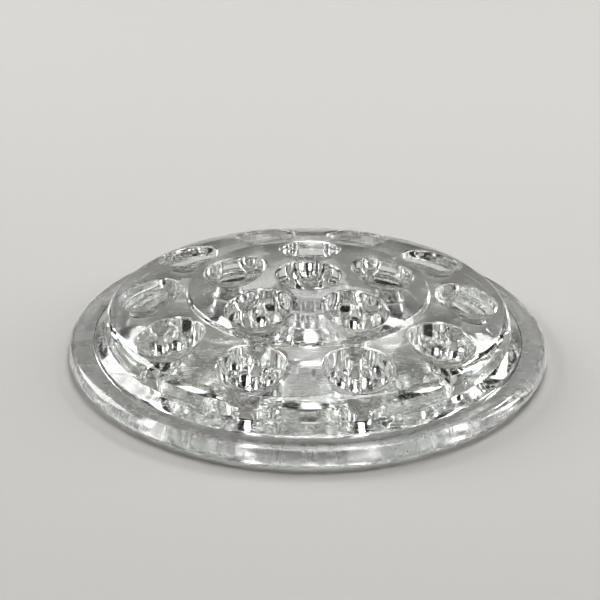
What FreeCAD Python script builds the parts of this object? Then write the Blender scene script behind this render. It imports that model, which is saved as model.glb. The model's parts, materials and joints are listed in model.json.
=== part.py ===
# Pressed-glass flower frog: a low domed block with sixteen stem holes and a flat flange round its foot.
# It is one casting, so one body: the turned outline, its rounded edges, then the holes and their lips.
# Each hole is a funnel that narrows in a long curve to a straight throat, open at the underside.
# Frame: millimetres, +Z up, origin on the table plane under the middle of the block.
# One hole of the inner ring lies at the back (+Y), and two holes of the outer ring straddle the front.
import FreeCAD, Part
import math
import os
import Sketcher

NODE = "glass_block"

# Each kind of hole by the names of its sizes: mouth radius, height of its bowl, height of its throat.
INNER_HOLE = ("inner_mouth", "inner_bowl_height", "inner_throat_height")
OUTER_HOLE = ("outer_mouth", "outer_bowl_height", "outer_throat_height")

# Angles from +X of the first hole in each ring.
INNER_START = 90
OUTER_START = 0

# A hole that takes away less glass than this, in cubic millimetres, has missed the block.
SMALLEST_CUT = 100

# Driving dimensions in millimetres, and side_draft in degrees.
SIZES = {
    "flange_radius": 70.0,
    "rim_round": 3.1,
    "foot_radius": 62.6,
    "ridge_radius": 59.3,
    "ridge_height": 8.7,
    "shoulder_radius": 58.5,
    "shoulder_height": 13.9,
    "band_crown": 90.0,
    "step_radius": 35.5,
    "step_height": 18.7,
    "plateau_radius": 34.8,
    "plateau_height": 19.8,
    "block_height": 24.2,
    "recess_radius": 62.0,
    "recess_depth": 1.2,
    "recess_flare": 1.4,
    "inner_ring": 22.8,
    "outer_ring": 46.2,
    "inner_count": 5,
    "outer_count": 10,
    "inner_mouth": 9.05,
    "outer_mouth": 8.9,
    "side_draft": 4.0,
    "inner_bowl_height": 19.8,
    "outer_bowl_height": 14.2,
    "inner_throat_height": 10.0,
    "outer_throat_height": 6.8,
    "throat_radius": 3.7,
    "cut_margin": 6.0,
    "lip_round": 0.7,
    "shoulder_round": 3.6,
    "ridge_round": 0.3,
    "foot_round": 1.8,
    "step_round": 0.4,
    "brow_round": 1.0,
    "recess_round": 0.5,
}


def make_sheet(doc):
    """Put the driving dimensions in a spreadsheet, one alias to a row."""
    sheet = doc.addObject("Spreadsheet::Sheet", "sizes")
    for row, (alias, value) in enumerate(SIZES.items(), start=1):
        sheet.set(f"A{row}", alias)
        sheet.set(f"B{row}", str(value))
        sheet.setAlias(f"B{row}", alias)
    doc.recompute()
    return sheet


def origin_feature(body, role):
    """Give the body's own origin plane or axis with this role."""
    for feature in body.Origin.OriginFeatures:
        if feature.Role == role:
            return feature
    raise RuntimeError(f"no {role} in the body's origin")


def new_sketch(body, name, role):
    """Start a sketch on one of the body's origin planes."""
    sketch = body.newObject("Sketcher::SketchObject", name)
    sketch.AttachmentSupport = (origin_feature(body, role), [""])
    sketch.MapMode = "FlatFace"
    return sketch


def at(x, y):
    return FreeCAD.Vector(x, y, 0)


def bind(sketch, constraint, name, expression):
    """Add a named dimension and drive it from the sheet."""
    index = sketch.addConstraint(constraint)
    sketch.renameConstraint(index, name)
    sketch.setExpression(f"Constraints.{name}", expression)


def place_point(sketch, edge, end, name, radius_from, height_from, point):
    """Dimension a point from the origin; an expression of None puts it on that axis."""
    if radius_from is None:
        sketch.addConstraint(Sketcher.Constraint("PointOnObject", edge, end, -2))
    else:
        across = Sketcher.Constraint("DistanceX", -1, 1, edge, end, point.x)
        bind(sketch, across, name + "_radius", radius_from)
    if height_from is None:
        sketch.addConstraint(Sketcher.Constraint("PointOnObject", edge, end, -1))
    else:
        up = Sketcher.Constraint("DistanceY", -1, 1, edge, end, point.y)
        bind(sketch, up, name + "_height", height_from)


def add_loop(sketch, shapes, smooth=()):
    """Add edges that run end to start round a closed section, and join them.

    The edges whose places in the list are in smooth run tangentially into the next one.
    """
    edges = [sketch.addGeometry(shape) for shape in shapes]
    for place, edge in enumerate(edges):
        following = edges[(place + 1) % len(edges)]
        joint = "Tangent" if place in smooth else "Coincident"
        sketch.addConstraint(Sketcher.Constraint(joint, edge, 2, following, 1))
    return edges


def run(points, first, last):
    """Straight edge between two named points."""
    return Part.LineSegment(points[first], points[last])


def crowned_arc(outer, inner, radius):
    """Arc from an outer point up and back to an inner one, crowned upwards, with this radius."""
    chord = inner - outer
    middle = (outer + inner) * 0.5
    down = FreeCAD.Vector(-chord.y, chord.x, 0)
    down.normalize()
    centre = middle + down * math.sqrt(radius ** 2 - (chord.Length / 2) ** 2)
    first = math.atan2(outer.y - centre.y, outer.x - centre.x)
    last = math.atan2(inner.y - centre.y, inner.x - centre.x)
    circle = Part.Circle(centre, FreeCAD.Vector(0, 0, 1), radius)
    return Part.ArcOfCircle(circle, first, last)


def outline_points():
    """Corners of the half section: x is the radius and y the height."""
    s = SIZES
    rim_middle = s["flange_radius"] - s["rim_round"]
    flange_top = 2 * s["rim_round"]
    return {
        "roof": at(0, s["recess_depth"]),
        "recess_top": at(s["recess_radius"] - s["recess_flare"], s["recess_depth"]),
        "recess_edge": at(s["recess_radius"], 0),
        "rim_bottom": at(rim_middle, 0),
        "rim_centre": at(rim_middle, s["rim_round"]),
        "rim_top": at(rim_middle, flange_top),
        "foot": at(s["foot_radius"], flange_top),
        "ridge": at(s["ridge_radius"], s["ridge_height"]),
        "shoulder": at(s["shoulder_radius"], s["shoulder_height"]),
        "step": at(s["step_radius"], s["step_height"]),
        "brow": at(s["plateau_radius"], s["plateau_height"]),
        "apex": at(0, s["block_height"]),
    }


def outline_sketch(body):
    """Half section of the block: out along the underside, round the rim, and back over the top."""
    s = SIZES
    p = outline_points()
    sketch = new_sketch(body, "outline", "XZ_Plane")
    rim_circle = Part.Circle(p["rim_centre"], FreeCAD.Vector(0, 0, 1), s["rim_round"])
    plateau_rise = s["block_height"] - s["plateau_height"]
    plateau_crown = (s["plateau_radius"] ** 2 + plateau_rise ** 2) / (2 * plateau_rise)
    recess, flare, ring, rim, flange, skirt, wall, band, riser, plateau, axis = add_loop(sketch, [
        run(p, "roof", "recess_top"),
        run(p, "recess_top", "recess_edge"),
        run(p, "recess_edge", "rim_bottom"),
        Part.ArcOfCircle(rim_circle, -math.pi / 2, math.pi / 2),
        run(p, "rim_top", "foot"),
        run(p, "foot", "ridge"),
        run(p, "ridge", "shoulder"),
        crowned_arc(p["shoulder"], p["step"], s["band_crown"]),
        run(p, "step", "brow"),
        crowned_arc(p["brow"], p["apex"], plateau_crown),
        run(p, "apex", "roof"),
    ])
    sketch.addConstraint(Sketcher.Constraint("Horizontal", recess))
    sketch.addConstraint(Sketcher.Constraint("Horizontal", flange))
    sketch.addConstraint(Sketcher.Constraint("PointOnObject", plateau, 3, -2))
    bind(sketch, Sketcher.Constraint("Radius", band, s["band_crown"]), "band_crown", "sizes.band_crown")

    rim_middle = "sizes.flange_radius - sizes.rim_round"
    recess_top = Sketcher.Constraint("DistanceX", -1, 1, recess, 2, p["recess_top"].x)
    bind(sketch, recess_top, "recess_top", "sizes.recess_radius - sizes.recess_flare")
    rim_top = Sketcher.Constraint("DistanceX", -1, 1, flange, 1, p["rim_top"].x)
    bind(sketch, rim_top, "rim_top", rim_middle)
    foot = Sketcher.Constraint("DistanceX", -1, 1, skirt, 1, p["foot"].x)
    bind(sketch, foot, "foot", "sizes.foot_radius")
    place_point(sketch, recess, 1, "roof", None, "sizes.recess_depth", p["roof"])
    place_point(sketch, flare, 2, "recess_edge", "sizes.recess_radius", None, p["recess_edge"])
    place_point(sketch, ring, 2, "rim_bottom", rim_middle, None, p["rim_bottom"])
    place_point(sketch, rim, 3, "rim_centre", rim_middle, "sizes.rim_round", p["rim_centre"])
    place_point(sketch, axis, 1, "apex", None, "sizes.block_height", p["apex"])
    for edge, end, name, width, height in [
            (wall, 1, "ridge", "ridge_radius", "ridge_height"),
            (wall, 2, "shoulder", "shoulder_radius", "shoulder_height"),
            (riser, 1, "step", "step_radius", "step_height"),
            (riser, 2, "brow", "plateau_radius", "plateau_height")]:
        place_point(sketch, edge, end, name, f"sizes.{width}", f"sizes.{height}", p[name])
    return sketch


def leaning_out(height):
    """How far a hole's drafted side leans out over this height."""
    return math.tan(math.radians(SIZES["side_draft"])) * height


def bowl_arc(mouth_edge, throat_edge):
    """Arc of the bowl, from the throat out and up to the drafted side, which it meets tangentially."""
    draft = math.radians(SIZES["side_draft"])
    chord = mouth_edge - throat_edge
    half_sweep = math.atan2(chord.x, chord.y) - draft
    radius = chord.Length / 2 / math.sin(half_sweep)
    centre = mouth_edge - at(math.cos(draft), -math.sin(draft)) * radius
    first = math.atan2(throat_edge.y - centre.y, throat_edge.x - centre.x)
    return Part.ArcOfCircle(Part.Circle(centre, FreeCAD.Vector(0, 0, 1), radius), first, -draft)


def hole_sketch(body, name, role, ring, kind):
    """Half section of one stem hole about its own axis: a throat, a bowl and a drafted side.

    It runs on past the top and the foot of the block, so that the cut clears both.
    """
    mouth, bowl_height, throat_height = kind
    sketch = new_sketch(body, name, role)
    if ring is not None:
        sketch.AttachmentOffset = FreeCAD.Placement(at(SIZES[ring], 0), FreeCAD.Rotation())
        sketch.setExpression("AttachmentOffset.Base.x", f"sizes.{ring}")
    top = SIZES["block_height"] + SIZES["cut_margin"]
    low = -SIZES["cut_margin"]
    p = {
        "low": at(0, low),
        "throat_low": at(SIZES["throat_radius"], low),
        "throat": at(SIZES["throat_radius"], SIZES[throat_height]),
        "bowl": at(SIZES[mouth], SIZES[bowl_height]),
        "side_top": at(SIZES[mouth] + leaning_out(top - SIZES[bowl_height]), top),
        "high": at(0, top),
    }
    floor, throat, bowl, side, lid, centre = add_loop(sketch, [
        run(p, "low", "throat_low"),
        run(p, "throat_low", "throat"),
        bowl_arc(p["bowl"], p["throat"]),
        run(p, "bowl", "side_top"),
        run(p, "side_top", "high"),
        run(p, "high", "low"),
    ], smooth=[2])
    sketch.addConstraint(Sketcher.Constraint("Horizontal", lid))
    sketch.addConstraint(Sketcher.Constraint("Horizontal", floor))
    sketch.addConstraint(Sketcher.Constraint("Vertical", throat))
    above = "sizes.block_height + sizes.cut_margin"
    place_point(sketch, centre, 1, "high", None, above, p["high"])
    place_point(sketch, centre, 2, "low", None, "-sizes.cut_margin", p["low"])
    place_point(sketch, bowl, 1, "throat", "sizes.throat_radius", f"sizes.{throat_height}", p["throat"])
    place_point(sketch, side, 1, "bowl", f"sizes.{mouth}", f"sizes.{bowl_height}", p["bowl"])
    steepness = math.radians(90 - SIZES["side_draft"])
    bind(sketch, Sketcher.Constraint("Angle", side, steepness), "steepness", "90 - sizes.side_draft")
    return sketch


def cut_hole(doc, body, name, role, ring, kind):
    """Groove one stem hole about its own axis and make sure that it took glass away."""
    before = body.Tip.Shape.Volume
    sketch = hole_sketch(body, name + "_section", role, ring, kind)
    groove = body.newObject("PartDesign::Groove", name)
    groove.Profile = sketch
    groove.ReferenceAxis = (sketch, ["V_Axis"])
    groove.Angle = 360
    body.Tip = groove
    doc.recompute()
    if before - groove.Shape.Volume < SMALLEST_CUT:
        raise RuntimeError(f"{name} missed the block")
    return groove


def ring_of_holes(doc, body, name, groove, count):
    """Repeat a hole round the block's axis and make sure that every copy was cut."""
    whole = groove.BaseFeature.Shape.Volume
    one_hole = whole - groove.Shape.Volume
    pattern = body.newObject("PartDesign::PolarPattern", name)
    pattern.Originals = [groove]
    pattern.Axis = (origin_feature(body, "Z_Axis"), [""])
    pattern.Angle = 360
    pattern.setExpression("Occurrences", f"sizes.{count}")
    body.Tip = pattern
    doc.recompute()
    if whole - pattern.Shape.Volume < one_hole * SIZES[count] - SMALLEST_CUT:
        raise RuntimeError(f"{name} lacks a copy")


def circles_at(shape, places, tolerance=0.05):
    """Names of the full circles about the block's axis at these (radius, height) places."""
    names = []
    for index, edge in enumerate(shape.Edges, start=1):
        if edge.Degenerated or edge.Curve.TypeId != "Part::GeomCircle":
            continue
        circle = edge.Curve
        if math.hypot(circle.Center.x, circle.Center.y) > tolerance:
            continue
        for radius, height in places:
            if math.hypot(circle.Radius - radius, circle.Center.z - height) < tolerance:
                names.append(f"Edge{index}")
    return names


def fillet(doc, body, name, edges, alias):
    """Round these edges of the body so far, with the radius from the sheet."""
    base = body.Tip
    feature = body.newObject("PartDesign::Fillet", name)
    feature.Base = (base, edges)
    feature.setExpression("Radius", f"sizes.{alias}")
    body.Tip = feature
    doc.recompute()


def round_circles(doc, body, name, places, alias):
    """Round the circular edges at these (radius, height) places."""
    edges = circles_at(body.Tip.Shape, places)
    if len(edges) < len(places):
        raise RuntimeError(f"{name}: found {len(edges)} of {len(places)} edges")
    fillet(doc, body, name, edges, alias)


def ring_axes(ring, count, first):
    """Plan positions of a ring of hole axes, the first at this angle from +X."""
    axes = []
    for k in range(int(SIZES[count])):
        angle = math.radians(first + 360 * k / SIZES[count])
        axes.append((SIZES[ring] * math.cos(angle), SIZES[ring] * math.sin(angle)))
    return axes


def on_side(points, axis, kind, tolerance=0.02):
    """Whether every point lies on the drafted side of the hole at this axis, above its bowl."""
    mouth, bowl_height, _ = kind
    for point in points:
        rise = point.z - SIZES[bowl_height]
        distance = math.hypot(point.x - axis[0], point.y - axis[1])
        if rise < tolerance or abs(distance - SIZES[mouth] - leaning_out(rise)) > tolerance:
            return False
    return True


def mouth_edges(shape, samples=5):
    """Names of the edges where the holes' sides meet the top of the block."""
    holes = [((0.0, 0.0), INNER_HOLE)]
    holes += [(axis, INNER_HOLE) for axis in ring_axes("inner_ring", "inner_count", INNER_START)]
    holes += [(axis, OUTER_HOLE) for axis in ring_axes("outer_ring", "outer_count", OUTER_START)]
    names = []
    for index, edge in enumerate(shape.Edges, start=1):
        if edge.Degenerated or edge.Curve.TypeId == "Part::GeomLine":
            continue
        points = edge.discretize(samples)
        if any(on_side(points, *hole) for hole in holes):
            names.append(f"Edge{index}")
    if len(names) < len(holes):
        raise RuntimeError(f"only {len(names)} mouth edges for {len(holes)} holes")
    return names


def turn_outline(doc, body):
    """Revolve the half section into the plain block."""
    outline = outline_sketch(body)
    doc.recompute()
    block = body.newObject("PartDesign::Revolution", "block")
    block.Profile = outline
    block.ReferenceAxis = (outline, ["V_Axis"])
    block.Angle = 360
    body.Tip = block
    doc.recompute()


def round_outline(doc, body):
    """Round the turned edges, from the shoulder down to the underside."""
    p = outline_points()
    for name, corners, alias in [
            ("shoulder_edge", ["shoulder"], "shoulder_round"),
            ("ridge_edge", ["ridge"], "ridge_round"),
            ("foot_edge", ["foot"], "foot_round"),
            ("step_edge", ["step"], "step_round"),
            ("brow_edge", ["brow"], "brow_round"),
            ("recess_edges", ["recess_edge", "recess_top"], "recess_round")]:
        places = [(p[corner].x, p[corner].y) for corner in corners]
        round_circles(doc, body, name, places, alias)


def cut_holes(doc, body):
    """Cut the middle hole and the two rings of holes, then round their mouths."""
    cut_hole(doc, body, "centre_hole", "XZ_Plane", None, INNER_HOLE)
    inner = cut_hole(doc, body, "inner_hole", "YZ_Plane", "inner_ring", INNER_HOLE)
    ring_of_holes(doc, body, "inner_holes", inner, "inner_count")
    outer = cut_hole(doc, body, "outer_hole", "XZ_Plane", "outer_ring", OUTER_HOLE)
    ring_of_holes(doc, body, "outer_holes", outer, "outer_count")
    fillet(doc, body, "mouth_lips", mouth_edges(body.Tip.Shape), "lip_round")


def build_block(doc):
    """Build the one casting."""
    body = doc.addObject("PartDesign::Body", NODE)
    body.Label = NODE
    body.Placement = FreeCAD.Placement()
    turn_outline(doc, body)
    round_outline(doc, body)
    cut_holes(doc, body)
    return body


def check(doc):
    """Stop if any object failed or a body has no sound solid."""
    for item in doc.Objects:
        bad = [state for state in item.State if state in ("Invalid", "Error")]
        if bad:
            raise RuntimeError(f"{item.Name} is {bad}")
    for body in doc.findObjects("PartDesign::Body"):
        if body.Shape.isNull() or not body.Shape.isValid():
            raise RuntimeError(f"{body.Label} has no valid shape")


def main():
    doc = FreeCAD.newDocument("flower_frog")
    make_sheet(doc)
    body = build_block(doc)
    check(doc)
    box = body.Shape.optimalBoundingBox()
    print("size", [round(v, 2) for v in (box.XLength, box.YLength, box.ZLength)])
    print("lowest", round(box.ZMin, 3), "volume cm3", round(body.Shape.Volume / 1000, 1))
    print("solids", len(body.Shape.Solids), "faces", len(body.Shape.Faces))
    os.makedirs("parts", exist_ok=True)
    body.Shape.exportStep(f"parts/{body.Label}.step")


main()
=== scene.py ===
import json
import math

import bmesh
import bpy
import numpy as np
from mathutils import Matrix, Vector, noise
from mathutils.geometry import delaunay_2d_cdt


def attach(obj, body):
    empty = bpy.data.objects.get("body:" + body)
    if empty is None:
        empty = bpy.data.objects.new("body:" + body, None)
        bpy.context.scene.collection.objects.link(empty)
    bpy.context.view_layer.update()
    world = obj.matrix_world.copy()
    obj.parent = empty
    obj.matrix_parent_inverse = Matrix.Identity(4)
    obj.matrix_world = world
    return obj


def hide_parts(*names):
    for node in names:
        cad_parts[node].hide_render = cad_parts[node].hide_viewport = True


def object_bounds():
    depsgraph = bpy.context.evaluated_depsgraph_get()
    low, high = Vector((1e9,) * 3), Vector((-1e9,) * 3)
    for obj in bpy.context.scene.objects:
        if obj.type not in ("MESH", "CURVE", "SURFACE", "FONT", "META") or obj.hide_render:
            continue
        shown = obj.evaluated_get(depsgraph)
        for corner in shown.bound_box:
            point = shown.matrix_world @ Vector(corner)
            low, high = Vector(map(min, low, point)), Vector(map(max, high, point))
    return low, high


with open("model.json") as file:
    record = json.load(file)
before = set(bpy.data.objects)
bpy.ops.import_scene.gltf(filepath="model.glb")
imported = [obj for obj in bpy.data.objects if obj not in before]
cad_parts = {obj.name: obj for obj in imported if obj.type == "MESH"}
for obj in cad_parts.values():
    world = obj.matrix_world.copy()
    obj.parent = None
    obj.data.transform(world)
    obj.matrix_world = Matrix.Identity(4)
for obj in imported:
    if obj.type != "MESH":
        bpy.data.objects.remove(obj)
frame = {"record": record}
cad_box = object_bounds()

# A pressed-glass flower frog. The frame gives its outer radius and the axes of its sixteen stem holes.
# The outline is drawn in millimetres as (radius, height) and turned; the mesh is put down in metres.
MM = 0.001

OUTER = -cad_box[0][1] / MM
RIM = 3.1
RECESS_DEPTH = 1.2
STEM_HOLES = [mount for mount in frame["record"]["mounts"] if mount["kind"] == "bore"]
THROAT = STEM_HOLES[0]["dims"]["r_mm"]

# How finely the mesh is cut: steps round a turn, and distances between its points in millimetres.
TURN_STEPS = 360
HOLE_STEPS = 96
TOP_SPACING = 1.1
ROOF_SPACING = 2.4
STEP_SPACING = 0.8
SKIRT_SPACING = 0.7
HOLE_SPACING = 0.9


# ---------------------------------------------------------------- outline in section

class Straight:
    """A straight stretch of a section. Travelling along it, the air is on the left."""

    def __init__(self, start, end):
        self.start = np.array(start, float)
        along = np.array(end, float) - self.start
        along /= np.linalg.norm(along)
        self.normal = np.array([-along[1], along[0]])

    def gap(self, spot):
        """Signed distance of a spot from the stretch, positive in the air, and the normal there."""
        return (spot - self.start) @ self.normal, self.normal

    def samples(self, first, last, spacing):
        count = max(1, round(float(np.linalg.norm(last - first)) / spacing))
        return [first + (last - first) * k / count for k in range(count + 1)]


class Arc:
    """A round stretch of a section, with the air outside the circle, or inside it if hollow."""

    def __init__(self, centre, radius, hollow=False):
        self.centre = np.array(centre, float)
        self.radius = radius
        self.side = -1 if hollow else 1

    def gap(self, spot):
        away = spot - self.centre
        distance = np.linalg.norm(away)
        return self.side * (distance - self.radius), self.side * away / distance

    def samples(self, first, last, spacing):
        start = math.atan2(*(first - self.centre)[::-1])
        sweep = math.atan2(*(last - self.centre)[::-1]) - start
        count = max(1, round(abs(sweep) * self.radius / spacing))
        angles = [start + sweep * k / count for k in range(count + 1)]
        return [self.centre + self.radius * np.array([math.cos(a), math.sin(a)]) for a in angles]

    def at_radius(self, across):
        """The point on the upper side of the circle at this distance from the axis."""
        rise = math.sqrt(self.radius ** 2 - (across - self.centre[0]) ** 2)
        return np.array([across, self.centre[1] + rise])


def slerp(first, last, share):
    """Directions part of the way from one to another, along the great circle."""
    angle = np.arccos(np.clip(np.sum(first * last, axis=-1, keepdims=True), -1, 1))
    return (np.sin((1 - share) * angle) * first + np.sin(share * angle) * last) / np.sin(angle)


CENTRE_TRIES = 30


def rounding(before, after, corner, radius, steps):
    """Points of the rounded corner between two stretches; a negative radius rounds a hollow corner."""
    centre = np.array(corner, float)
    for _ in range(CENTRE_TRIES):
        gap_before, normal_before = before.gap(centre)
        gap_after, normal_after = after.gap(centre)
        short = [-radius - gap_before, -radius - gap_after]
        centre = centre + np.linalg.solve([normal_before, normal_after], short)
    return [centre + radius * slerp(normal_before, normal_after, k / steps) for k in range(steps + 1)]


def trace(stretches, corners, start, end, spacing):
    """Points along stretches that meet at corners, each given as (point, radius, steps)."""
    points = []
    spot = start
    for stretch, after, (corner, radius, steps) in zip(stretches, stretches[1:], corners):
        if radius:
            bend = rounding(stretch, after, corner, radius, steps)
        else:
            bend = [np.array(corner, float)]
        points += stretch.samples(spot, bend[0], spacing)[:-1] + bend[:-1]
        spot = bend[-1]
    return points + stretches[-1].samples(spot, end, spacing)


def circle_through(first, last, radius):
    """Centre of the circle of this radius through two points, below their chord."""
    first, last = np.array(first, float), np.array(last, float)
    chord = last - first
    length = np.linalg.norm(chord)
    down = np.array([chord[1], -chord[0]]) / length
    return (first + last) / 2 + down * math.sqrt(radius ** 2 - (length / 2) ** 2)


# Corners of the outline, from the edge of the domed plateau out to the rim and in underneath.
BROW = (34.8, 19.8)
STEP = (35.5, 18.7)
SHOULDER = (58.5, 13.9)
CREASE = (59.3, 8.7)
FOOT = (62.6, 2 * RIM)
RIM_TOP = (OUTER - RIM, 2 * RIM)
RIM_BOTTOM = (OUTER - RIM, 0)
RECESS_EDGE = (62.0, 0)
RECESS_TOP = (60.6, RECESS_DEPTH)
BAND_RADIUS = 90
APEX_HEIGHT = 24.2

plateau_rise = APEX_HEIGHT - BROW[1]
plateau_radius = (BROW[0] ** 2 + plateau_rise ** 2) / (2 * plateau_rise)
PLATEAU = Arc((0, APEX_HEIGHT - plateau_radius), plateau_radius)
BAND = Arc(circle_through(STEP, SHOULDER, BAND_RADIUS), BAND_RADIUS)
STRETCHES = [
    PLATEAU,
    Straight(BROW, STEP),
    BAND,
    Straight(SHOULDER, CREASE),
    Straight(CREASE, FOOT),
    Straight(FOOT, RIM_TOP),
    Arc((OUTER - RIM, RIM), RIM),
    Straight(RIM_BOTTOM, RECESS_EDGE),
    Straight(RECESS_EDGE, RECESS_TOP),
    Straight(RECESS_TOP, (0, RECESS_DEPTH)),
]
# Each corner with the radius of its rounding, negative where it is hollow, and the steps it is cut into.
CORNERS = [
    (BROW, 1.0, 6),
    (STEP, -0.4, 4),
    (SHOULDER, 3.6, 12),
    (CREASE, -0.3, 4),
    (FOOT, -1.8, 5),
    (RIM_TOP, 0, 1),
    (RIM_BOTTOM, 0, 1),
    (RECESS_EDGE, 0.5, 5),
    (RECESS_TOP, -0.5, 5),
]
# Radii where the turned rings meet the patches that the holes pass through.
PLATEAU_END = 33.6
BAND_START = 36.0
BAND_END = 56.3
ROOF_START = 59.6


# ---------------------------------------------------------------- mesh from rings and patches

EDGE_MARGIN = 0.7
MERGE_DISTANCE = 1e-7


class Shell:
    """Points and faces of the glass surface, in millimetres."""

    def __init__(self):
        self.points = []
        self.faces = []

    def ring(self, points):
        """Add a closed ring of points and give their numbers."""
        start = len(self.points)
        self.points += [tuple(point) for point in points]
        return list(range(start, len(self.points)))

    def strip(self, rings):
        """Join each ring to the next with a band of quads."""
        for low, high in zip(rings, rings[1:]):
            for k in range(len(low)):
                after = (k + 1) % len(low)
                self.faces.append((low[k], low[after], high[after], high[k]))

    def patch(self, outer, holes, spacing, height):
        """Fill between an outer ring and the rings of holes, at the height given by (x, y)."""
        loops = [outer] + holes
        numbers = [n for loop in loops for n in loop]
        flat = [Vector(self.points[n][:2]) for n in numbers]
        edges = []
        start = 0
        for loop in loops:
            edges += [(start + k, start + (k + 1) % len(loop)) for k in range(len(loop))]
            start += len(loop)
        for x, y in self.spread(loops, spacing):
            numbers.append(len(self.points))
            self.points.append((x, y, height(x, y)))
            flat.append(Vector((x, y)))
        _, _, triangles, origins, _, _ = delaunay_2d_cdt(flat, edges, [], 0, MERGE_DISTANCE)
        inside = [set(hole) for hole in holes]
        for triangle in triangles:
            face = tuple(numbers[origins[corner][0]] for corner in triangle)
            if not any(hole.issuperset(face) for hole in inside):
                self.faces.append(face)

    def spread(self, loops, spacing):
        """Points on a triangular grid inside the first loop and outside the others, clear of them all."""
        middles = []
        for loop in loops:
            ring = np.array([self.points[n][:2] for n in loop])
            middle = ring.mean(axis=0)
            middles.append((middle, np.linalg.norm(ring - middle, axis=1)))
        reach = middles[0][1].max()
        rows = int(reach / (spacing * math.sqrt(3) / 2)) + 1
        found = []
        for row in range(-rows, rows + 1):
            for column in range(-rows, rows + 1):
                x = (column + 0.5 * (row % 2)) * spacing
                y = row * spacing * math.sqrt(3) / 2
                if self.clear(x, y, middles, EDGE_MARGIN * spacing):
                    found.append((x, y))
        return found

    @staticmethod
    def clear(x, y, middles, margin):
        for place, (middle, radii) in enumerate(middles):
            distance = math.hypot(x - middle[0], y - middle[1])
            if place == 0 and distance > radii.min() - margin:
                return False
            if place > 0 and distance < radii.max() + margin:
                return False
        return True


def turned(section):
    """Rings of points for a section turned about the block's axis."""
    angles = [2 * math.pi * k / TURN_STEPS for k in range(TURN_STEPS)]
    return [[(r * math.cos(a), r * math.sin(a), z) for a in angles] for r, z in section]


def unevenness(spot):
    """Smooth noise from -1 to 1, the same on every run."""
    return noise.noise(spot, noise_basis="PERLIN_NEW")


# ---------------------------------------------------------------- stem holes

LIP = 0.7
LIP_STEPS = 5
LIP_TRIES = 60
SIDE_STEPS = 3
DRAFT = math.radians(4)
NECK_ROUND = 1.2
FOOT_ROUND = 0.3
MARK_DEPTH = 0.06
MARK_OCTAVES = [(1.0, 3.5), (0.35, 7.0)]
INNER_HOLE = {"mouth": 9.05, "bowl": 19.8, "throat": 10.0, "surface": PLATEAU}
OUTER_HOLE = {"mouth": 8.9, "bowl": 14.2, "throat": 6.8, "surface": BAND}


def hole_section(kind):
    """Section of a hole about its own axis, from the underside up to the top of its bowl."""
    bowl_top = np.array([kind["mouth"], kind["bowl"]])
    inward, down = bowl_top - (THROAT, kind["throat"])
    radius = math.hypot(inward, down) / 2 / math.sin(math.atan2(inward, down) - DRAFT)
    bowl_middle = bowl_top - radius * np.array([math.cos(DRAFT), -math.sin(DRAFT)])
    foot = (THROAT, RECESS_DEPTH)
    neck = (THROAT, kind["throat"])
    stretches = [
        Straight((2 * THROAT, RECESS_DEPTH), foot),
        Straight(foot, neck),
        Arc(bowl_middle, radius, hollow=True),
    ]
    corners = [(foot, FOOT_ROUND, 3), (neck, NECK_ROUND, 6)]
    start = np.array([THROAT + 3 * FOOT_ROUND, RECESS_DEPTH])
    return trace(stretches, corners, start, bowl_top, HOLE_SPACING)


def mouth_lip(kind, axis, around):
    """Rings of a rolled lip, where a ball inside the glass touches the hole's side and the top surface."""
    ball_z = np.full(len(around), kind["bowl"] + LIP)
    for _ in range(LIP_TRIES):
        ball_r = kind["mouth"] + math.tan(DRAFT) * (ball_z - kind["bowl"]) + LIP / math.cos(DRAFT)
        ball = np.column_stack([axis + ball_r[:, None] * around, ball_z])
        across = np.hypot(ball[:, 0], ball[:, 1])
        away = np.column_stack([across, ball_z]) - kind["surface"].centre
        distance = np.linalg.norm(away, axis=1)
        ball_z = ball_z - (distance - kind["surface"].radius + LIP)
    tilt = away / distance[:, None]
    outward = np.column_stack([(tilt[:, 0] / across)[:, None] * ball[:, :2], tilt[:, 1]])
    side = np.column_stack([-math.cos(DRAFT) * around, np.full(len(around), math.sin(DRAFT))])
    return [ball + LIP * slerp(side, outward, k / LIP_STEPS) for k in range(LIP_STEPS + 1)]


def plunger_marks(around, seed):
    """Shallow upright flutes that the plunger leaves round a hole's wall, from -1 to 1."""
    marks = np.zeros(len(around))
    for share, fineness in MARK_OCTAVES:
        marks += [share * unevenness(Vector((*(fineness * spot), seed))) for spot in around]
    return marks


def add_hole(shell, mount, seed):
    """Add a stem hole's wall and lip, and give its lowest and highest rings."""
    kind = OUTER_HOLE if "outer" in mount["name"] else INNER_HOLE
    axis = np.array(mount["pos_m"][:2]) / MM
    angles = 2 * np.pi * np.arange(HOLE_STEPS) / HOLE_STEPS
    around = np.column_stack([np.cos(angles), np.sin(angles)])
    section = hole_section(kind)
    low_marks = plunger_marks(around, 2 * seed)
    high_marks = plunger_marks(around, 2 * seed + 1)
    rings = []
    for k, (across, z) in enumerate(section):
        share = k / (len(section) - 1)
        marks = (1 - share) * low_marks + share * high_marks
        depth = MARK_DEPTH * math.sin(math.pi * share)
        ring = axis + (across + depth * marks)[:, None] * around
        rings.append(np.column_stack([ring, np.full(HOLE_STEPS, z)]))
    lip = mouth_lip(kind, axis, around)
    for k in range(1, SIDE_STEPS):
        rings.append(rings[-1] + (lip[0] - rings[-1]) / (SIDE_STEPS - k + 1))
    numbered = [shell.ring(ring) for ring in rings + lip]
    shell.strip(numbered)
    return numbered[0], numbered[-1], kind


# ---------------------------------------------------------------- the glass block

# Ripples as (depth, length), and the streaks that run round the flange, all in millimetres.
RIPPLES = [(0.06, 16.0), (0.008, 6.0)]
STREAK_DEPTH = 0.016
STREAK_WIDTH = 2.0
STREAK_FADE = 3.0
STREAK_TURN = 1.3


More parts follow.
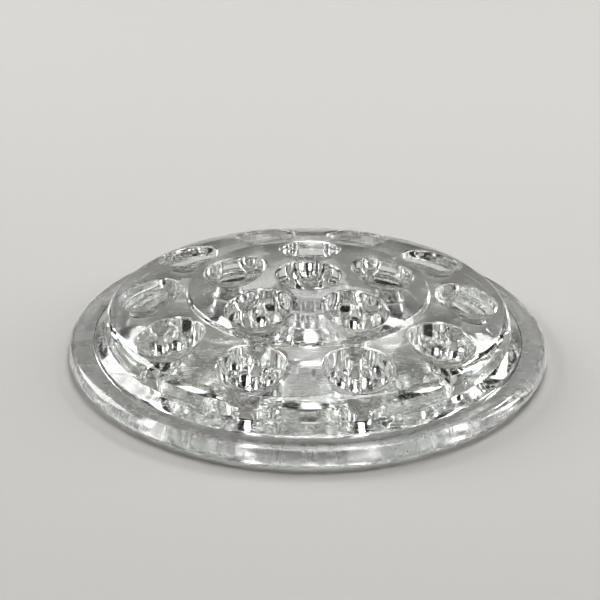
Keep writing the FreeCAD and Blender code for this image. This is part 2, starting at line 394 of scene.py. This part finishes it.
def glass_shell():
    """The whole surface of the casting, closed, in millimetres."""
    shell = Shell()
    plateau_end, band_start = PLATEAU.at_radius(PLATEAU_END), BAND.at_radius(BAND_START)
    band_end, roof_start = BAND.at_radius(BAND_END), np.array([ROOF_START, RECESS_DEPTH])
    step = trace(STRETCHES[:3], CORNERS[:2], plateau_end, band_start, STEP_SPACING)
    skirt = trace(STRETCHES[2:], CORNERS[2:], band_end, roof_start, SKIRT_SPACING)
    step_rings = [shell.ring(ring) for ring in turned(step)]
    skirt_rings = [shell.ring(ring) for ring in turned(skirt)]
    shell.strip(step_rings)
    shell.strip(skirt_rings)
    holes = [add_hole(shell, mount, seed) for seed, mount in enumerate(STEM_HOLES)]
    plateau_mouths = [top for _, top, kind in holes if kind is INNER_HOLE]
    band_mouths = [top for _, top, kind in holes if kind is OUTER_HOLE]
    shell.patch(step_rings[0], plateau_mouths, TOP_SPACING,
                lambda x, y: PLATEAU.at_radius(math.hypot(x, y))[1])
    shell.patch(skirt_rings[0], band_mouths + [step_rings[-1]], TOP_SPACING,
                lambda x, y: BAND.at_radius(math.hypot(x, y))[1])
    shell.patch(skirt_rings[-1], [foot for foot, _, _ in holes], ROOF_SPACING,
                lambda x, y: RECESS_DEPTH)
    return shell


def sink(mesh):
    """Let the surface sink in by the slight unevenness of pressed glass, and never stand proud."""
    normals = [vertex.normal.copy() for vertex in mesh.vertices]
    for vertex, normal in zip(mesh.vertices, normals):
        spot = vertex.co / MM
        across = math.hypot(spot.x, spot.y)
        turn = STREAK_TURN / (across + 1)
        swirl = Vector((turn * spot.x, turn * spot.y, (across + 2 * spot.z) / STREAK_WIDTH))
        depth = sum(size * (1 + unevenness(spot / length)) / 2 for size, length in RIPPLES)
        streaked = min(1, max(0, (across - BAND_END) / STREAK_FADE))
        depth += streaked * STREAK_DEPTH * (1 + unevenness(swirl)) / 2
        share = normal.z ** 2 if across < BAND_END else 1
        vertex.co -= normal * share * depth * MM


def make_block():
    shell = glass_shell()
    mesh = bpy.data.meshes.new("pressed_glass")
    mesh.from_pydata((np.array(shell.points) * MM).tolist(), [], shell.faces)
    build = bmesh.new()
    build.from_mesh(mesh)
    bmesh.ops.recalc_face_normals(build, faces=build.faces)
    build.to_mesh(mesh)
    build.free()
    sink(mesh)
    mesh.shade_smooth()
    block = bpy.data.objects.new("pressed_glass", mesh)
    bpy.context.collection.objects.link(block)
    return block


# ---------------------------------------------------------------- materials

class Nodes:
    """Short calls that add nodes to a material and join them."""

    def __init__(self, name):
        self.material = bpy.data.materials.new(name)
        self.material.use_nodes = True
        self.tree = self.material.node_tree
        self.shader = self.tree.nodes["Principled BSDF"]
        self.output = self.tree.nodes["Material Output"]

    def feed(self, socket, value):
        if isinstance(value, bpy.types.NodeSocket):
            self.tree.links.new(value, socket)
        else:
            socket.default_value = value

    def add(self, kind, inputs, **settings):
        node = self.tree.nodes.new(kind)
        for name, value in settings.items():
            setattr(node, name, value)
        for name, value in inputs.items():
            self.feed(node.inputs[name], value)
        return node

    def math(self, operation, *values):
        return self.add("ShaderNodeMath", dict(enumerate(values)), operation=operation).outputs[0]

    def ramp(self, value, low, high, to_low=0.0, to_high=1.0):
        """A value brought from low..high to to_low..to_high, smoothly, and held beyond."""
        inputs = {"Value": value, "From Min": low, "From Max": high, "To Min": to_low, "To Max": to_high}
        return self.add("ShaderNodeMapRange", inputs, interpolation_type="SMOOTHSTEP").outputs["Result"]

    def place(self, scale=(1, 1, 1), turn=(0, 0, 0)):
        """The spot on the object, stretched and turned."""
        spot = self.add("ShaderNodeTexCoord", {}).outputs["Object"]
        return self.add("ShaderNodeMapping", {"Vector": spot, "Rotation": turn, "Scale": scale}).outputs[0]

    def noise(self, spot, scale, detail=2.0):
        inputs = {"Vector": spot, "Scale": scale, "Detail": detail}
        return self.add("ShaderNodeTexNoise", inputs).outputs[0]


# Directions that the hairlines run in, as a turn in radians, and how far each set is drawn out.
HAIRLINES = [(0.4, 30), (1.7, 22), (2.6, 40)]
HAIR_WIDTH = 0.012


def scratches(nodes):
    """Fine hairline scratches in three directions, from 0 to 1."""
    total = None
    for turn, stretch in HAIRLINES:
        spot = nodes.place(scale=(1, stretch, 1), turn=(0, 0, turn))
        line = nodes.noise(spot, 55, 1.0)
        edge = nodes.math("ABSOLUTE", nodes.math("SUBTRACT", line, 0.5))
        hair = nodes.ramp(edge, 0.0, HAIR_WIDTH, 1.0, 0.0)
        patch = nodes.ramp(nodes.noise(nodes.place(), 60 + 9 * stretch, 1.0), 0.55, 0.62)
        mark = nodes.math("MULTIPLY", hair, patch)
        total = mark if total is None else nodes.math("MAXIMUM", total, mark)
    return total


def specks(nodes, spot, scale, size, kept):
    """Small round specks, from 0 to 1: one in each cell that is kept, of a size given in cells."""
    cells = nodes.add("ShaderNodeTexVoronoi", {"Vector": spot, "Scale": scale})
    dot = nodes.ramp(cells.outputs["Distance"], 0.6 * size, size, 1.0, 0.0)
    chance = nodes.add("ShaderNodeSeparateColor", {"Color": cells.outputs["Color"]}).outputs[0]
    return nodes.math("MULTIPLY", dot, nodes.math("LESS_THAN", chance, kept))


def patches(nodes, spot, scale, detail, low, high):
    """Soft uneven patches of a roughness or cover that goes from low to high."""
    return nodes.ramp(nodes.noise(spot, scale, detail), 0.3, 0.7, low, high)


def roughness(nodes, spot, across, z, hair):
    """Smears all over, a rubbed rim, hairlines, a slightly dull underside and a scuffed foot ring."""
    rim = nodes.ramp(across, (OUTER - 5) * MM, (OUTER - 1) * MM)
    foot = nodes.ramp(z, 0.2 * MM, 0.5 * MM, 1.0, 0.0)
    underside = nodes.ramp(z, 1.3 * MM, 1.6 * MM, 1.0, 0.0)
    smear = nodes.ramp(nodes.noise(spot, 70, 3.0), 0.45, 0.75, 0.0, 0.05)
    rubbed = nodes.math("MULTIPLY", rim, nodes.ramp(nodes.noise(spot, 700, 3.0), 0.35, 0.75, 0.02, 0.12))
    scuffed = nodes.math("MULTIPLY", foot, patches(nodes, spot, 180, 3.0, 0.05, 0.35))
    dull = nodes.math("MULTIPLY", underside, patches(nodes, spot, 90, 3.0, 0.03, 0.10))
    worn = nodes.math("ADD", nodes.math("ADD", smear, rubbed), nodes.math("MULTIPLY", hair, 0.35))
    total = nodes.math("ADD", worn, nodes.math("ADD", scuffed, dull))
    return nodes.math("MINIMUM", total, 0.6)


def dirt(nodes, spot, hair, pits):
    """Share of the surface that hides the glass: pits, hairlines and a thin film."""
    film = nodes.ramp(nodes.noise(spot, 45, 5.0), 0.42, 0.75, 0.0, 0.02)
    marks = nodes.math("ADD", nodes.math("MULTIPLY", pits, 0.85), nodes.math("MULTIPLY", hair, 0.25))
    return nodes.math("MINIMUM", nodes.math("ADD", marks, film), 0.9)


BUMP_DEPTH = 0.000006


def glass_material():
    """Clear pressed glass with a slight tint in depth, and the wear of a block that has been used."""
    nodes = Nodes("pressed_glass")
    inputs = nodes.shader.inputs
    inputs["Base Color"].default_value = (1, 1, 1, 1)
    inputs["IOR"].default_value = 1.52

    spot = nodes.place()
    axes = nodes.add("ShaderNodeSeparateXYZ", {"Vector": spot})
    x, y, z = axes.outputs["X"], axes.outputs["Y"], axes.outputs["Z"]
    square = nodes.math("ADD", nodes.math("MULTIPLY", x, x), nodes.math("MULTIPLY", y, y))
    across = nodes.math("SQRT", square)
    hair = scratches(nodes)
    nodes.feed(inputs["Roughness"], roughness(nodes, spot, across, z, hair))

    outer = nodes.ramp(across, 50 * MM, 64 * MM, 0.25, 1.0)
    fine = specks(nodes, spot, 420, 0.13, 0.22)
    coarse = specks(nodes, spot, 170, 0.085, 0.35)
    pits = nodes.math("MULTIPLY", nodes.math("MAXIMUM", fine, coarse), outer)
    clear = nodes.math("SUBTRACT", 1.0, dirt(nodes, spot, hair, pits))
    nodes.feed(inputs["Transmission Weight"], clear)

    grain = nodes.math("SUBTRACT", nodes.noise(spot, 420, 2.0), nodes.math("MULTIPLY", hair, 0.3))
    height = nodes.math("SUBTRACT", grain, nodes.math("MULTIPLY", pits, 10.0))
    bump = nodes.add("ShaderNodeBump", {"Height": height, "Strength": 1.0, "Distance": BUMP_DEPTH})
    nodes.feed(inputs["Normal"], bump.outputs[0])

    absorb = nodes.add("ShaderNodeVolumeAbsorption", {"Color": (0.83, 0.88, 0.82, 1), "Density": 5.0})
    nodes.feed(nodes.output.inputs["Volume"], absorb.outputs[0])
    return nodes.material


def floor_material():
    material = bpy.data.materials.new("floor")
    material.use_nodes = True
    shader = material.node_tree.nodes["Principled BSDF"]
    shader.inputs["Base Color"].default_value = (0.56, 0.55, 0.53, 1)
    shader.inputs["Roughness"].default_value = 0.7
    shader.inputs["Specular IOR Level"].default_value = 0.2
    return material


# ---------------------------------------------------------------- stage, lights and camera

FLOOR_HALF_WIDTH = 2.5
FLOOR_DROP = 0.00005

# Name, place, width, height and power of each soft light, in metres and watts.
LIGHTS = [
    ("window", (-1.0, 0.55, 0.7), 0.7, 0.6, 9),
    ("ceiling", (0.1, 0.1, 1.3), 0.7, 0.7, 9),
    ("haze", (0.05, 0.85, 1.0), 0.3, 0.9, 2.0),
    ("key", (0.7, 0.9, 1.0), 0.15, 0.15, 3),
    ("fill", (1.1, 0.3, 0.5), 0.25, 0.7, 5),
]
ROOM = (0.02, 0.02, 0.02, 1)

# The view: angles in degrees, the lens in millimetres, and distances in radii of the block.
ELEVATION = 25.73
ORBIT = 1.33
ROLL = 0.49
LENS = 95.15
DISTANCE = 6.614
AIM_SIDE = -0.0338
AIM_HEIGHT = 0.2238


def add_floor(material):
    """Plain floor, a hair below the block so that the two surfaces don't share a plane."""
    mesh = bpy.data.meshes.new("floor")
    edge = FLOOR_HALF_WIDTH
    corners = [(-edge, -edge), (edge, -edge), (edge, edge), (-edge, edge)]
    mesh.from_pydata([(x, y, -FLOOR_DROP) for x, y in corners], [], [(0, 1, 2, 3)])
    floor = bpy.data.objects.new("floor", mesh)
    mesh.materials.append(material)
    bpy.context.collection.objects.link(floor)


def add_light(name, place, width, height, power):
    """Soft rectangular light that faces the block."""
    light = bpy.data.lights.new(name, "AREA")
    light.shape = "RECTANGLE"
    light.size = width
    light.size_y = height
    light.energy = power
    lamp = bpy.data.objects.new(name, light)
    lamp.location = place
    lamp.rotation_euler = (-Vector(place)).to_track_quat("-Z", "Y").to_euler()
    bpy.context.collection.objects.link(lamp)


def add_camera():
    """Camera at the height, distance and slight roll of the view that the block is shown from."""
    radius = OUTER * MM
    target = Vector((AIM_SIDE * radius, 0, AIM_HEIGHT * radius))
    elevation = math.radians(ELEVATION)
    back = Vector((0, -math.cos(elevation), math.sin(elevation)))
    place = target + DISTANCE * radius * back
    aim = (target - place).to_track_quat("-Z", "Y").to_matrix().to_4x4()
    roll = Matrix.Rotation(math.radians(ROLL), 4, "Z")
    orbit = Matrix.Rotation(math.radians(ORBIT), 4, "Z")
    camera = bpy.data.objects.new("camera", bpy.data.cameras.new("camera"))
    camera.data.sensor_width = 36
    camera.data.lens = LENS
    camera.matrix_world = orbit @ Matrix.Translation(place) @ aim @ roll
    bpy.context.collection.objects.link(camera)
    bpy.context.scene.camera = camera


def set_up_room():
    """Dark room, and enough bounces for light to pass through the whole block."""
    scene = bpy.context.scene
    scene.world = bpy.data.worlds.new("room")
    scene.world.use_nodes = True
    scene.world.node_tree.nodes["Background"].inputs["Color"].default_value = ROOM
    scene.cycles.max_bounces = 24
    scene.cycles.transmission_bounces = 24
    scene.cycles.glossy_bounces = 12
    scene.cycles.sample_clamp_indirect = 10
    scene.view_settings.view_transform = "Standard"
    scene.view_settings.look = "High Contrast"
    scene.view_settings.exposure = -0.3


block = make_block()
block.data.materials.append(glass_material())
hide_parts("glass_block")
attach(block, "root")

add_floor(floor_material())
for light in LIGHTS:
    add_light(*light)
add_camera()
set_up_room()
